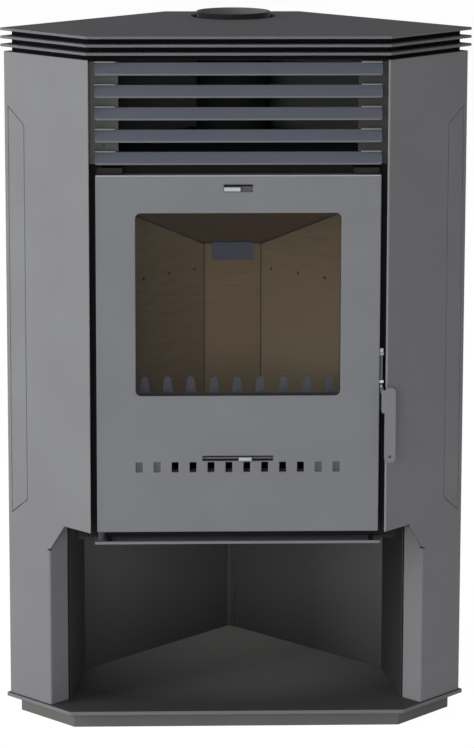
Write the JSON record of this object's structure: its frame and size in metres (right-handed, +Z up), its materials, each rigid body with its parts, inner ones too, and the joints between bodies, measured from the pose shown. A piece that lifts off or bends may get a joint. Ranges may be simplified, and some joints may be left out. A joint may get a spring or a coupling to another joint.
{
  "type": "heating stove",
  "caption": "Corner wood stove of folded sheet steel with a glazed door, louvred top, brick-lined firebox and an open log store below",
  "frame": {"origin": "On the floor, under the middle of the bounding box of the stove with its handle", "axes": "+Z up. +Y toward the room's corner, so the door looks along -Y. +X to the right of someone facing the door"},
  "size_m": [0.73, 0.513, 1.1057],
  "materials": {
    "grey_paint": "fine matt grey stove paint",
    "plate_paint": "matt grey stove paint, seen from above",
    "slat_paint": "satin bluish grey stove paint",
    "black_paint": "matt black heat-proof paint",
    "firebox_steel": "dark grey heat-proof paint on welded plate",
    "vermiculite": "pressed vermiculite board, rough and unglazed",
    "cast_iron": "raw grey casting",
    "zinc_steel": "dull zinc-plated sheet",
    "ceramic_glass": "clear ceramic glass with a warm tint",
    "seal_rope": "woven glass-fibre rope"
  },
  "bodies": {
    "body": {"plinth": "grey_paint", "cheek_left": "grey_paint", "cheek_right": "grey_paint", "cheek_cover_left": "grey_paint", "cheek_cover_right": "grey_paint", "rear_panel_left": "grey_paint", "rear_panel_right": "grey_paint", "body_base": "grey_paint", "floor_plate": "plate_paint", "lower_plate": "plate_paint", "middle_plate": "plate_paint", "top_plate": "plate_paint", "slat_1": "slat_paint", "slat_2": "slat_paint", "slat_3": "slat_paint", "slat_4": "slat_paint", "slat_5": "slat_paint", "louvre_bracket_left": "slat_paint", "louvre_bracket_right": "slat_paint", "log_store_side_left": "black_paint", "log_store_side_right": "black_paint", "casing_lid": "black_paint", "spacer_lower": "black_paint", "spacer_middle": "black_paint", "spacer_top": "black_paint", "flue_collar": "black_paint", "firebox_front": "firebox_steel", "firebox_side_left": "firebox_steel", "firebox_side_right": "firebox_steel", "firebox_wall_left": "firebox_steel", "firebox_wall_right": "firebox_steel", "firebox_rear_wall": "firebox_steel", "firebox_top": "firebox_steel", "firebox_shelf": "firebox_steel", "ash_pan": "firebox_steel", "firebrick_base_left": "vermiculite", "firebrick_base_right": "vermiculite", "firebrick_rear": "vermiculite", "firebrick_left": "vermiculite", "firebrick_right": "vermiculite", "firebrick_side_left": "vermiculite", "firebrick_side_right": "vermiculite", "baffle_plate": "vermiculite", "grate": "cast_iron", "log_retainer": "cast_iron", "baffle_bracket": "zinc_steel", "hinge_bracket_left": "zinc_steel", "hinge_bracket_right": "zinc_steel", "latch_catch": "zinc_steel"},
    "door": {"door_face": "grey_paint", "door_liner": "firebox_steel", "door_seal": "seal_rope", "glass_pane": "ceramic_glass", "glass_retainer_left": "firebox_steel", "glass_retainer_right": "firebox_steel"},
    "handle": {"handle": "grey_paint"},
    "upper_slider": {"upper_air_slider": "zinc_steel"},
    "lower_slider": {"lower_air_slider": "zinc_steel"}
  },
  "joints": [
    {"name": "door_hinge", "type": "hinge", "parent": "body", "child": "door", "pos_m": [-0.2105, -0.227, 0.6075], "axis": [0, 0, -1], "range_deg": [0, 100]},
    {"name": "handle_pivot", "type": "hinge", "parent": "door", "child": "handle", "pos_m": [0.2206, -0.2345, 0.537], "axis": [0, 0, -1], "range_deg": [0, 30]},
    {"name": "upper_air_slide", "type": "slide", "parent": "door", "child": "upper_slider", "axis": [1, 0, 0], "range_m": [0, 0.018]},
    {"name": "lower_air_slide", "type": "slide", "parent": "door", "child": "lower_slider", "axis": [1, 0, 0], "range_m": [-0.055, 0.033]}
  ]
}
